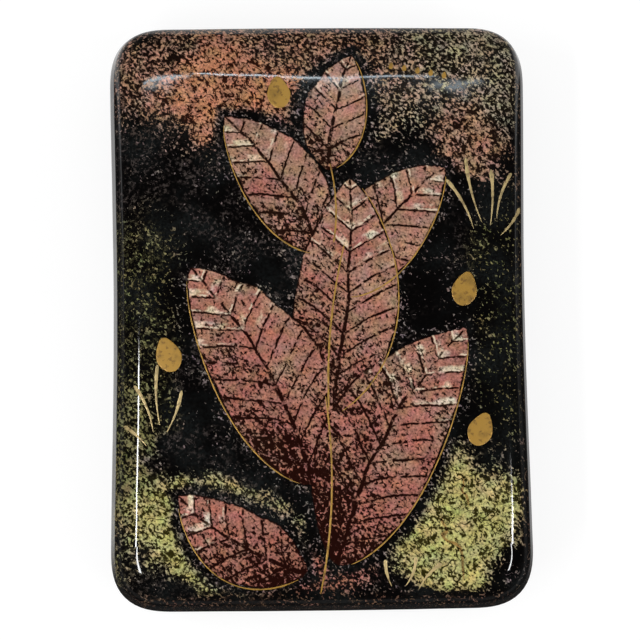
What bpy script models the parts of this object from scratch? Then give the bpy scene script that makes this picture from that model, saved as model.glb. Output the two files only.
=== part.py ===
"""A glazed ceramic cigarette box: a slip-cast base and the loose lid that sits on it.

The box is modelled in metres with +Z up. The origin is the middle of the footprint, on the surface
that the box stands on. X runs across the box and Y along it. Both pieces are lofted through rings
that follow one plan outline, each ring set in from the outline by so much, at so much height.
"""

import math

import bmesh
import bpy

# Plan outline: the drawn-in long sides and the bowed short ones of a slip casting
WIDTH = 0.127
LENGTH = 0.178
CORNER_REACH = 0.0195
CORNER_POWER = 2.8
INNER_CORNER_REACH = 0.004
SIDE_WAIST = 0.00105
END_BOW = 0.0003

# Base
BASE_HEIGHT = 0.033
WALL = 0.0052
SIDE_DRAFT = 0.0015
BOTTOM_ROUNDING = 0.005
FOOT_WIDTH = 0.0045
FOOT_RECESS = 0.0015
FLOOR_THICKNESS = 0.005
FLOOR_FILLET = 0.005
WELL_DRAFT = 0.001

# Lid
LID_RISE = 0.0167
LID_THICKNESS = 0.0062
CROWN = 0.002
SKIRT_DRAFT = 0.0013
ROLL_WIDTH = 0.0105
END_ROLL_EXTRA = 0.0035
ROLL_DROP = 0.0085
ROLL_POWER = 2.2
CEILING_FILLET = 0.005
FLANGE_THICKNESS = 0.004
FLANGE_DEPTH = 0.0045

# Edges and fits that both pieces share
LIP_ROUNDING = 0.0009
SEAT_GAP = 0.0003
FLANGE_CLEARANCE = 0.0012

# Glazes: the mean linear colour and the roughness
BLACK_GLAZE = (0.020, 0.015, 0.012)
BLACK_ROUGHNESS = 0.12
DECORATED_GLAZE = (0.105, 0.070, 0.050)
DECORATED_ROUGHNESS = 0.08

# Steps in each quarter of the outline, and in the curves of the section
LONG_SIDE_STEPS = 5
CORNER_STEPS = 8
SHORT_SIDE_STEPS = 3
ROLL_STEPS = 8
FILLET_STEPS = 4
LIP_STEPS = 3
CROWN_STEPS = 5
CEILING_STEPS = 3
SMOOTH_ANGLE = math.radians(40)

# Directions of an arc's ends in the section, in degrees
INWARD, UP, ROLL_END, OUTWARD, DOWN, INWARD_AGAIN = 0, 90, 168, 180, 270, 360

HALF_WIDTH = WIDTH / 2
HALF_LENGTH = LENGTH / 2 - END_BOW


def clear_scene():
    """Removes whatever the open scene holds."""
    for thing in list(bpy.data.objects):
        bpy.data.objects.remove(thing)


def on_superellipse(angle, power):
    """The point at an angle on a quarter superellipse that reaches 1 both ways."""
    across, along = math.cos(angle), math.sin(angle)
    size = (abs(across) ** power + abs(along) ** power) ** (-1 / power)
    return across * size, along * size


def quarter_outline(inset, end_inset):
    """Points from +X round to +Y, before the sides are drawn in and the ends bowed."""
    reach = max(CORNER_REACH - inset, INNER_CORNER_REACH)
    end_reach = max(CORNER_REACH - end_inset, INNER_CORNER_REACH)
    side, end = HALF_WIDTH - inset, HALF_LENGTH - end_inset
    middle_x, middle_y = side - reach, end - end_reach
    points = [(side, middle_y * k / LONG_SIDE_STEPS) for k in range(LONG_SIDE_STEPS)]
    for k in range(CORNER_STEPS + 1):
        x, y = on_superellipse(math.pi / 2 * k / CORNER_STEPS, CORNER_POWER)
        points.append((middle_x + reach * x, middle_y + end_reach * y))
    for k in range(1, SHORT_SIDE_STEPS + 1):
        points.append((middle_x * (1 - k / SHORT_SIDE_STEPS), end))
    return points


def bent(x, y):
    """Draws a point in with its long side's waist, and out with its short side's bow."""
    waist = SIDE_WAIST * math.cos(math.pi / 2 * min(abs(y) / HALF_LENGTH, 1)) ** 2
    bow = END_BOW * math.cos(math.pi / 2 * min(abs(x) / HALF_WIDTH, 1)) ** 2
    return x - waist * x / HALF_WIDTH, y + bow * y / HALF_LENGTH


def outline(inset, end_inset):
    """Points all the way round the plan outline, set in from its sides and its ends."""
    quarter = quarter_outline(inset, end_inset)
    back = quarter[::-1]
    points = quarter[:-1]
    points += [(-x, y) for x, y in back[:-1]]
    points += [(-x, -y) for x, y in quarter[:-1]]
    points += [(x, -y) for x, y in back[:-1]]
    return [bent(x, y) for x, y in points]


def crown_drop(x, y):
    """How far the crowned lid has fallen at a point, from its middle to its edges."""
    across, along = x / HALF_WIDTH, y / HALF_LENGTH
    return CROWN * (1 - (1 - across**2) * (1 - along**2))


def ring(inset, height, crowned=False, end_extra=0.0, scale=1.0):
    """One ring of points for the loft, level or following the crown."""
    points = []
    for x, y in outline(inset, inset + end_extra):
        x, y = x * scale, y * scale
        drop = crown_drop(x, y) if crowned else 0.0
        points.append((x, y, height - drop))
    return points


def arc(inset, height, reach_in, reach_up, start, end, steps, power=2.0):
    """(inset, height) pairs on an arc about a centre in the section."""
    pairs = []
    for k in range(steps + 1):
        angle = math.radians(start + (end - start) * k / steps)
        inwards, upwards = on_superellipse(angle, power)
        pairs.append((inset + reach_in * inwards, height + reach_up * upwards))
    return pairs


def rounding(inset, height, radius, start, end, steps):
    """(inset, height) pairs on a circular arc about a centre in the section."""
    return arc(inset, height, radius, radius, start, end, steps)


def rings_at(pairs, crowned=False):
    """The rings at the pairs of a stretch of the section."""
    return [ring(inset, height, crowned) for inset, height in pairs]


def roll_rings():
    """The rings down the lid's rolled edge, which is wider at the two ends."""
    rings = []
    reach_in = ROLL_WIDTH - SKIRT_DRAFT
    centre_height = LID_RISE - ROLL_DROP
    roll = arc(ROLL_WIDTH, centre_height, reach_in, ROLL_DROP, UP, ROLL_END, ROLL_STEPS, ROLL_POWER)
    for inset, height in roll:
        share = (inset - SKIRT_DRAFT) / reach_in
        rings.append(ring(inset, height, True, END_ROLL_EXTRA * share))
    return rings


def middle_rings(inset, height, steps, end_extra=0.0):
    """Rings that shrink from a crowned surface's edge to its middle."""
    return [ring(inset, height, True, end_extra, 1 - k / steps) for k in range(1, steps)]


def loft(name, rings, material):
    """A closed body through the rings, capped at the first and the last."""
    shape = bmesh.new()
    loops = [[shape.verts.new(point) for point in points] for points in rings]
    for first, second in zip(loops, loops[1:]):
        for k in range(len(first)):
            shape.faces.new((first[k - 1], first[k], second[k], second[k - 1]))
    shape.faces.new(loops[0])
    shape.faces.new(loops[-1])
    bmesh.ops.recalc_face_normals(shape, faces=shape.faces)
    mesh = bpy.data.meshes.new(name)
    shape.to_mesh(mesh)
    shape.free()
    mesh.shade_smooth()
    mesh.set_sharp_from_angle(angle=SMOOTH_ANGLE)
    mesh.materials.append(material)
    piece = bpy.data.objects.new(name, mesh)
    bpy.context.scene.collection.objects.link(piece)
    return piece


def glaze(name, colour, roughness):
    """A glossy fired glaze of one mean colour."""
    material = bpy.data.materials.new(name)
    material.use_nodes = True
    shader = material.node_tree.nodes["Principled BSDF"]
    shader.inputs["Base Color"].default_value = (*colour, 1)
    shader.inputs["Roughness"].default_value = roughness
    shader.inputs["Metallic"].default_value = 0.0
    return material


def make_base():
    """The open box, from the recess under it, round the outside and down into the well."""
    foot_outer = SIDE_DRAFT + BOTTOM_ROUNDING
    foot_inner = foot_outer + FOOT_WIDTH
    floor = FOOT_RECESS + FLOOR_THICKNESS
    lip = BASE_HEIGHT - LIP_ROUNDING
    fillet_inset = WALL + WELL_DRAFT + FLOOR_FILLET
    fillet_height = floor + FLOOR_FILLET
    section = [(foot_inner + FOOT_RECESS, FOOT_RECESS), (foot_inner, 0.0)]
    section += rounding(foot_outer, BOTTOM_ROUNDING, BOTTOM_ROUNDING, DOWN, OUTWARD, FILLET_STEPS)
    section += rounding(LIP_ROUNDING, lip, LIP_ROUNDING, OUTWARD, UP, LIP_STEPS)
    section += rounding(WALL - LIP_ROUNDING, lip, LIP_ROUNDING, UP, INWARD, LIP_STEPS)
    section += rounding(fillet_inset, fillet_height, FLOOR_FILLET, OUTWARD, DOWN, FILLET_STEPS)
    return loft("base", rings_at(section), glaze("base_glaze", BLACK_GLAZE, BLACK_ROUGHNESS))


def make_lid():
    """The lid, from its crown, over the rolled edge, under the seat and up to its ceiling."""
    flange_outer = WALL + FLANGE_CLEARANCE
    flange_round = FLANGE_THICKNESS / 2
    flange_middle = flange_outer + flange_round
    flange_end = flange_round - FLANGE_DEPTH
    fillet_inset = flange_outer + FLANGE_THICKNESS + CEILING_FILLET
    ceiling = LID_RISE - LID_THICKNESS
    fillet_height = ceiling - CEILING_FILLET
    seat = rounding(LIP_ROUNDING, LIP_ROUNDING, LIP_ROUNDING, OUTWARD, DOWN, LIP_STEPS)
    seat += [(flange_outer, 0.0)]
    flange = rounding(
        flange_middle, flange_end, flange_round, OUTWARD, INWARD_AGAIN, 2 * LIP_STEPS
    )
    fillet = rounding(fillet_inset, fillet_height, CEILING_FILLET, OUTWARD, UP, FILLET_STEPS)
    rings = middle_rings(ROLL_WIDTH, LID_RISE, CROWN_STEPS, END_ROLL_EXTRA)[::-1]
    rings += roll_rings()
    rings += rings_at(seat + flange)
    rings += rings_at(fillet, crowned=True)
    rings += middle_rings(fillet_inset, ceiling, CEILING_STEPS)
    return loft("lid", rings, glaze("lid_glaze", DECORATED_GLAZE, DECORATED_ROUGHNESS))


def main():
    clear_scene()
    base = make_base()
    lid = make_lid()
    lid.parent = base
    lid.location.z = BASE_HEIGHT + SEAT_GAP


if __name__ == "__main__":
    main()
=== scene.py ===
"""Looks of the glazed ceramic cigarette box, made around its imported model.

The file is laid out as a Blender add-on and is run as a script. Lengths are metres in the model's
frame: X runs across the box, Y along it to the top of the lid's picture, and Z up. The picture on
the lid is drawn in millimetres from the middle of the lid.
"""

import math

import bpy
from mathutils import Matrix, Vector


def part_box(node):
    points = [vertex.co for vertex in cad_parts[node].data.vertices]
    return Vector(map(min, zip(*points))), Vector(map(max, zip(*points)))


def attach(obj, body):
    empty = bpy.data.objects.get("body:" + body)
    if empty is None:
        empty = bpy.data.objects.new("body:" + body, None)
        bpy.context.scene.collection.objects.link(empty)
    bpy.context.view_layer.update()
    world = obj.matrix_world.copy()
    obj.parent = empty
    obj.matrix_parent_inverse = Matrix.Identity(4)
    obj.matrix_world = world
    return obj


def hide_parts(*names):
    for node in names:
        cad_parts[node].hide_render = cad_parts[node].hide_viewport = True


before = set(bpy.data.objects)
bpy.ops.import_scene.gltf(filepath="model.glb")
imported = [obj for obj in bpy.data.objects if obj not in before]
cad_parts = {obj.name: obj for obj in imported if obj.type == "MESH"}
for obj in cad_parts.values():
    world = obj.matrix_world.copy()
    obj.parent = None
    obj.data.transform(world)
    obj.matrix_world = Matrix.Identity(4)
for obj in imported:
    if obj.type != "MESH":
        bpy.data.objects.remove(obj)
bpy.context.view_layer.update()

bl_info = {
    "name": "Glazed Cigarette Box",
    "version": (1, 0, 0),
    "blender": (4, 5, 0),
    "location": "View3D > Sidebar > Box",
    "description": "Builds a slip-cast box with a painted, gilded lid, and a studio to see it in",
    "category": "Object",
}

MM = 0.001

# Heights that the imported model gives, and the gap that it leaves between the rim and the lid's seat
BASE_LOW, BASE_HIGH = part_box("base")
LID_LOW, LID_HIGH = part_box("lid")
SEAT_GAP = 0.3 * MM
BASE_HEIGHT = BASE_HIGH.z - BASE_LOW.z
SEAT = BASE_HIGH.z + SEAT_GAP

# Directions of an arc's ends in the section, in degrees
INWARD, UP, ROLL_END, OUTWARD, DOWN, INWARD_AGAIN = 0, 90, 168, 180, 270, 360


def screen(red, green, blue):
    """The linear colour of one that a screen shows as 0 to 255 values."""
    return tuple(
        value / 12.92 if value <= 0.04045 else ((value + 0.055) / 1.055) ** 2.4
        for value in (red / 255, green / 255, blue / 255)
    )


# Kinds of property


def length(name, description, default):
    return bpy.props.FloatProperty(
        name=name, description=description, default=default, min=0, unit="LENGTH", precision=5
    )


def number(name, description, default):
    return bpy.props.FloatProperty(name=name, description=description, default=default)


def whole(name, description, default):
    return bpy.props.IntProperty(name=name, description=description, default=default, min=1)


def colour(name, description, default):
    return bpy.props.FloatVectorProperty(
        name=name, description=description, default=default, min=0, max=1, subtype="COLOR"
    )


class PlanShape(bpy.types.PropertyGroup):
    """The plan outline that both pieces follow, and how finely it is followed."""

    width: length("Width", "Across the box, before its sides are drawn in", 0.127)
    length: length("Length", "Along the box, at its middle", LID_HIGH.y - LID_LOW.y)
    corner_reach: length("Corner Reach", "How far a corner's curve runs along each side", 0.0195)
    inner_reach: length("Inner Corner Reach", "The least reach of an inner corner", 0.004)
    corner_power: number("Corner Power", "2 is a round corner, more is a squarer one", 2.8)
    side_waist: length("Side Waist", "How far the long sides are drawn in", 0.00105)
    end_bow: length("End Bow", "How far the short ends swell out", 0.0003)
    lip: length("Lip Rounding", "Radius of the lips where base and lid meet", 0.0009)
    wall: length("Wall", "Thickness of the base's walls at the rim", 0.0052)
    long_steps: whole("Long Side Steps", "Faces along half of a long side", 28)
    corner_steps: whole("Corner Steps", "Faces round a corner", 18)
    short_steps: whole("Short Side Steps", "Faces along half of a short side", 16)
    wobble: length("Hand Wobble", "How far the cast surface strays from its mould", 0.00006)
    wobble_reach: length("Wobble Reach", "Width of the surface's soft waves", 0.017)


class BaseShape(bpy.types.PropertyGroup):
    """The open box."""

    draft: length("Side Draft", "How far the foot is drawn in from the rim", 0.0015)
    bottom_rounding: length("Bottom Rounding", "Radius under the walls", 0.005)
    foot_width: length("Foot Width", "Width of the dry foot ring", 0.0045)
    foot_recess: length("Foot Recess", "Depth of the hollow inside the foot ring", 0.0015)
    floor: length("Floor Thickness", "Thickness of the well's floor", 0.005)
    fillet: length("Floor Fillet", "Radius between the floor and the walls", 0.005)
    well_draft: length("Well Draft", "How far the well narrows downwards", 0.001)


class LidShape(bpy.types.PropertyGroup):
    """The loose lid."""

    rise: length("Rise", "Height of the lid's middle above its seat", LID_HIGH.z - SEAT)
    thickness: length("Thickness", "Thickness of the lid at its middle", 0.0062)
    crown: length("Crown", "How far the top falls from its middle to its edges", 0.002)
    draft: length("Skirt Draft", "How far the skirt is drawn in above the lip", 0.0013)
    roll_width: length("Roll Width", "Width of the rolled edge along the sides", 0.0105)
    end_extra: length("End Extra", "How much wider the rolled edge is at the ends", 0.0085)
    roll_drop: length("Roll Drop", "Height of the rolled edge", 0.0085)
    roll_power: number("Roll Power", "2 is a round edge, more is a squarer one", 2.2)
    fillet: length("Ceiling Fillet", "Radius between the ceiling and the flange", 0.005)
    flange: length("Flange Thickness", "Thickness of the ring that keeps the lid in place", 0.004)
    flange_depth: length("Flange Depth", "How far the ring reaches into the base", SEAT - LID_LOW.z)
    clearance: length("Flange Clearance", "Gap between the ring and the walls", 0.0012)


class GlazeColours(bpy.types.PropertyGroup):
    """Colours of the fired glazes, the enamels over them, the gold and the clay."""

    black: colour("Black", "The thick ground glaze", screen(3, 2, 2))
    slate: colour("Slate", "The ground glaze where it pooled", screen(22, 25, 25))
    thin_brown: colour("Thin Brown", "The ground glaze where it runs thin", screen(74, 44, 27))
    smoke: colour("Smoke", "Stray specks on the bare ground", screen(138, 124, 119))
    pink: colour("Pink", "The leaves", screen(168, 128, 108))
    deep_pink: colour("Deep Pink", "The leaves, where the pink lay thick", screen(168, 111, 96))
    peach: colour("Peach", "The wash at the top", screen(176, 136, 112))
    orange: colour("Orange", "The glow in the wash at the top", screen(188, 130, 98))
    beige: colour("Beige", "The paler wash at the top", screen(174, 158, 132))
    olive: colour("Olive", "The thin wash at the sides", screen(130, 124, 84))
    lime: colour("Lime", "The grass green at the bottom", screen(188, 179, 115))
    cream: colour("Cream", "Scratches of white enamel", screen(227, 209, 182))
    ochre: colour("Ochre", "Soft strokes of stain", screen(148, 118, 68))
    gold: colour("Gold", "The fired gold", screen(180, 138, 58))
    pale_gold: colour("Pale Gold", "The short strokes of gold", screen(204, 180, 126))
    clay: colour("Clay", "The bare clay of the foot and the seat", screen(206, 187, 163))


class GoldWork(bpy.types.PropertyGroup):
    """The brushed gold on the lid."""

    line: length("Line", "Half the width of a brushed line", 0.00021)
    stroke: length("Stroke", "Half the width of a short stroke's thick end", 0.0006)
    body: length("Body", "How far the gold stands up from the glaze", 0.00005)


class StudioSettings(bpy.types.PropertyGroup):
    """Where the camera stands, and how bright the room is."""

    height: length("Camera Height", "Height of the camera above the table", 0.75)
    left: length("Camera Left", "How far the camera stands left of the middle", 0.02)
    front: length("Camera Front", "How far the camera stands in front of the middle", 0.084)
    lens: number("Lens", "Focal length in millimetres on a 36 mm sensor", 133.56)
    roll: number("Roll", "Turn of the camera about its own axis, in degrees", -0.684)
    fill: number("Fill", "Radiance of the room on matt surfaces", 0.4)
    room: number("Room", "Radiance of the room in the glaze", 0.028)


# A small language for node trees


def sign(operation, swapped=False):
    """The method behind one of Python's own signs, which makes a maths node."""

    def act(wire, *others):
        values = (wire, *others)
        return wire.tree.math(operation, *(reversed(values) if swapped else values))

    return act


class Wire:
    """One output of a node, which Python's own signs add to and multiply."""

    def __init__(self, tree, socket):
        self.tree = tree
        self.socket = socket

    __abs__ = sign("ABSOLUTE")
    __add__, __radd__ = sign("ADD"), sign("ADD", swapped=True)
    __sub__, __rsub__ = sign("SUBTRACT"), sign("SUBTRACT", swapped=True)
    __mul__, __rmul__ = sign("MULTIPLY"), sign("MULTIPLY", swapped=True)
    __truediv__, __rtruediv__ = sign("DIVIDE"), sign("DIVIDE", swapped=True)
    __pow__ = sign("POWER")


class Tree:
    """A node tree under construction."""

    def __init__(self, nodes):
        self.nodes = nodes

    @classmethod
    def group(cls, name, kind):
        """The tree of a new node group."""
        tree = cls(bpy.data.node_groups.new(name, kind))
        tree.entry = tree.nodes.nodes.new("NodeGroupInput")
        tree.exit = tree.nodes.nodes.new("NodeGroupOutput")
        return tree

    def input(self, name, kind="Float"):
        """A new named input of a group."""
        self.nodes.interface.new_socket(name=name, in_out="INPUT", socket_type="NodeSocket" + kind)
        return Wire(self, self.entry.outputs[name])

    def inputs(self, *names, kind="Float"):
        return [self.input(name, kind) for name in names]

    def output(self, name, value, kind="Float"):
        """A new named output of a group, and what feeds it."""
        self.nodes.interface.new_socket(name=name, in_out="OUTPUT", socket_type="NodeSocket" + kind)
        self.feed(self.exit.inputs[name], value)

    def feed(self, socket, value):
        """Links a wire or a node's first output to a socket, or sets the socket to a plain value."""
        if isinstance(value, bpy.types.Node):
            value = self.out(value)
        if isinstance(value, Wire):
            self.nodes.links.new(value.socket, socket)
        elif hasattr(value, "__len__") and len(value) == 3 and socket.type == "RGBA":
            socket.default_value = (*value, 1)
        else:
            socket.default_value = value

    def add(self, kind, inputs=None, **settings):
        """A new node, its settings made first and its inputs then fed by name or identifier."""
        node = self.nodes.nodes.new(kind)
        for name, value in settings.items():
            setattr(node, name, value)
        for name, value in (inputs or {}).items():
            socket = next(s for s in node.inputs if name in (s.identifier, s.name))
            self.feed(socket, value)
        return node

    def out(self, node, name=None):
        """The named output of a node, or its first."""
        found = [s for s in node.outputs if name in (None, s.identifier, s.name)]
        return Wire(self, found[0])

    def compute(self, kind, operation, values):
        """The first output of a maths node, its inputs fed in order."""
        node = self.nodes.nodes.new(kind)
        node.operation = operation
        for socket, value in zip(node.inputs, values):
            self.feed(socket, value)
        return Wire(self, node.outputs[0])

    def math(self, operation, *values):
        return self.compute("ShaderNodeMath", operation, values)

    def vector_math(self, operation, *values):
        return self.compute("ShaderNodeVectorMath", operation, values)

    def minimum(self, *values):
        return self.math("MINIMUM", *values)

    def maximum(self, *values):
        return self.math("MAXIMUM", *values)

    def step(self, value, low, high, slope="LINEAR"):
        """0 below low, 1 above high, and an even slope between."""
        inputs = {"Value": value, "From Min": low, "From Max": high}
        return self.out(self.add("ShaderNodeMapRange", inputs, interpolation_type=slope))

    def smooth(self, value, low, high):
        """0 below low, 1 above high, and a soft slope between."""
        return self.step(value, low, high, "SMOOTHSTEP")

    def fade(self, value, low, high):
        """1 below low, 0 above high, and a soft slope between."""
        return 1.0 - self.smooth(value, low, high)

    def mix(self, kind, data_type, share, first, second):
        """Two values of one kind of socket, mixed by a share."""
        inputs = {"Factor_Float": share, f"A_{kind}": first, f"B_{kind}": second}
        return self.out(self.add("ShaderNodeMix", inputs, data_type=data_type), f"Result_{kind}")

    def blend(self, share, first, second):
        """Numbers mixed by a share."""
        return self.mix("Float", "FLOAT", share, first, second)

    def paint(self, share, under, over):
        """Colours mixed by a share."""
        return self.mix("Color", "RGBA", share, under, over)

    def shade(self, tint, factor):
        """A colour brightened or dimmed by a number."""
        node = self.add("ShaderNodeVectorMath", {"Vector": tint, "Scale": factor}, operation="SCALE")
        return self.out(node)

    def split(self, vector):
        node = self.add("ShaderNodeSeparateXYZ", {"Vector": vector})
        return [Wire(self, socket) for socket in node.outputs]

    def vector(self, x, y, z):
        return self.out(self.add("ShaderNodeCombineXYZ", {"X": x, "Y": y, "Z": z}))

    def noise(self, place, spacing, detail=2.0, roughness=0.5, distortion=0.0, output="Fac"):
        """Noise from 0 to 1 whose blobs are about so far apart."""
        inputs = {
            "Vector": place, "Scale": 1 / spacing, "Detail": detail,
            "Roughness": roughness, "Distortion": distortion,
        }
        return self.out(self.add("ShaderNodeTexNoise", inputs), output)

    def jitter(self, place, spacing, reach):
        """A place moved about at random, by up to about half of its reach."""
        noise = self.noise(place, spacing, 1.0, output="Color")
        stray = self.vector_math("SUBTRACT", noise, (0.5, 0.5, 0.5))
        return self.vector_math("ADD", place, self.shade(stray, reach))

    def use(self, group, inputs):
        """A group placed in this tree."""
        node = self.nodes.nodes.new(
            "GeometryNodeGroup" if self.nodes.bl_idname == "GeometryNodeTree" else "ShaderNodeGroup"
        )
        node.node_tree = group
        for name, value in inputs.items():
            self.feed(node.inputs[name], value)
        return {socket.name: Wire(self, socket) for socket in node.outputs}


def built_once(kind):
    """Marks a maker of a node group, which builds it the first time and finds it after that."""

    def mark(build):
        name = build.__name__.replace("_", " ").title()

        def find():
            if name not in bpy.data.node_groups:
                build(Tree.group(name, kind))
            return bpy.data.node_groups[name]

        return find

    return mark


geometry_tree = built_once("GeometryNodeTree")
shader_group = built_once("ShaderNodeTree")


def in_scene(name, data):
    """A new object for a mesh, a lamp or a camera, linked to the scene."""
    thing = bpy.data.objects.new(name, data)
    bpy.context.scene.collection.objects.link(thing)
    return thing


def new_material(name):
    """A material with its Principled shader, and the tree that will feed it."""
    material = bpy.data.materials.new(name)
    material.use_nodes = True
    tree = Tree(material.node_tree)
    shader = material.node_tree.nodes["Principled BSDF"]
    return material, tree, shader


def place_in_mm(tree):
    """A point of the piece, in millimetres."""
    return tree.shade(tree.out(tree.add("ShaderNodeTexCoord"), "Object"), 1 / MM)


# Sections of the two castings. A station is (inset, end extra, height, shrink, crowned)


def station(inset, height, end_extra=0.0, shrink=1.0, crowned=0.0):
    return inset, end_extra, height, shrink, crowned


def on_superellipse(angle, power):
    """The point at an angle on a quarter superellipse that reaches 1 both ways."""
    across, along = math.cos(angle), math.sin(angle)
    size = (abs(across) ** power + abs(along) ** power) ** (-1 / power)
    return across * size, along * size


def arc(inset, height, reach_in, reach_up, start, end, steps, power=2.0):
    """(inset, height) pairs on an arc about a centre in the section."""
    pairs = []
    for k in range(steps + 1):
        angle = math.radians(start + (end - start) * k / steps)
        inwards, upwards = on_superellipse(angle, power)
        pairs.append((inset + reach_in * inwards, height + reach_up * upwards))
    return pairs


def rounding(inset, height, radius, start, end, steps, crowned=0.0):
    """Stations on a circular arc about a centre in the section."""
    pairs = arc(inset, height, radius, radius, start, end, steps)
    return [station(*pair, crowned=crowned) for pair in pairs]


def joined(stretches):
    """One section through stretches of stations, each with how many even steps lead up to it."""
    section = []
    for steps, stations in stretches:
        if section:
            first, second = section[-1], stations[0]
            for k in range(1, steps):
                share = k / steps
                section.append(tuple(a + (b - a) * share for a, b in zip(first, second)))
        section += stations
    return section


def base_section(plan, base):
    """From the middle of the recess underneath, round the outside and down into the well."""
    foot_outer = base.draft + base.bottom_rounding
    foot_inner = foot_outer + base.foot_width
    floor = base.foot_recess + base.floor
    lip = BASE_HEIGHT - plan.lip
    fillet_inset = plan.wall + base.well_draft + base.fillet
    fillet_height = floor + base.fillet
    recess_inset = foot_inner + base.foot_recess
    outer_lip = rounding(plan.lip, lip, plan.lip, OUTWARD, UP, 5)
    inner_lip = rounding(plan.wall - plan.lip, lip, plan.lip, UP, INWARD, 5)
    return joined([
        (0, [station(recess_inset, base.foot_recess, shrink=0.0)]),
        (14, [station(recess_inset, base.foot_recess)]),
        (3, [station(foot_inner, 0.0)]),
        (4, rounding(foot_outer, base.bottom_rounding, base.bottom_rounding, DOWN, OUTWARD, 10)),
        (12, outer_lip),
        (4, inner_lip),
        (8, rounding(fillet_inset, fillet_height, base.fillet, OUTWARD, DOWN, 9)),
        (16, [station(fillet_inset, floor, shrink=0.0)]),
    ])


def roll_stations(lid):
    """Down the rolled edge, which is wider at the two ends."""
    reach_in = lid.roll_width - lid.draft
    centre = lid.rise - lid.roll_drop
    pairs = arc(lid.roll_width, centre, reach_in, lid.roll_drop, UP, ROLL_END, 30, lid.roll_power)
    return [
        station(inset, height, lid.end_extra * (inset - lid.draft) / reach_in, crowned=1.0)
        for inset, height in pairs
    ]


def lid_section(plan, lid):
    """From the middle of the ceiling, round the flange and the seat and up to the crown."""
    flange_outer = plan.wall + lid.clearance
    flange_round = lid.flange / 2
    flange_end = flange_round - lid.flange_depth
    fillet_inset = flange_outer + lid.flange + lid.fillet
    ceiling = lid.rise - lid.thickness
    fillet_height = ceiling - lid.fillet
    crown = [station(lid.roll_width, lid.rise, lid.end_extra, shrink=0.0, crowned=1.0)]
    roll = roll_stations(lid)
    seat = rounding(plan.lip, plan.lip, plan.lip, OUTWARD, DOWN, 5)
    flange_middle = flange_outer + flange_round
    flange = rounding(flange_middle, flange_end, flange_round, OUTWARD, INWARD_AGAIN, 12)
    fillet = rounding(fillet_inset, fillet_height, lid.fillet, OUTWARD, UP, 9, crowned=1.0)
    section = joined([
        (0, crown),
        (40, roll),
        (6, seat),
        (5, [station(flange_outer, 0.0)]),
        (3, flange),
        (6, fillet),
        (16, [station(fillet_inset, ceiling, shrink=0.0, crowned=1.0)]),
    ])
    return [(inset, extra, height + SEAT, *rest) for inset, extra, height, *rest in reversed(section)]


# Geometry Nodes


def named_number(tree, name):
    """A number stored on the points."""
    node = tree.add("GeometryNodeInputNamedAttribute", {"Name": name}, data_type="FLOAT")
    return tree.out(node)


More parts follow.
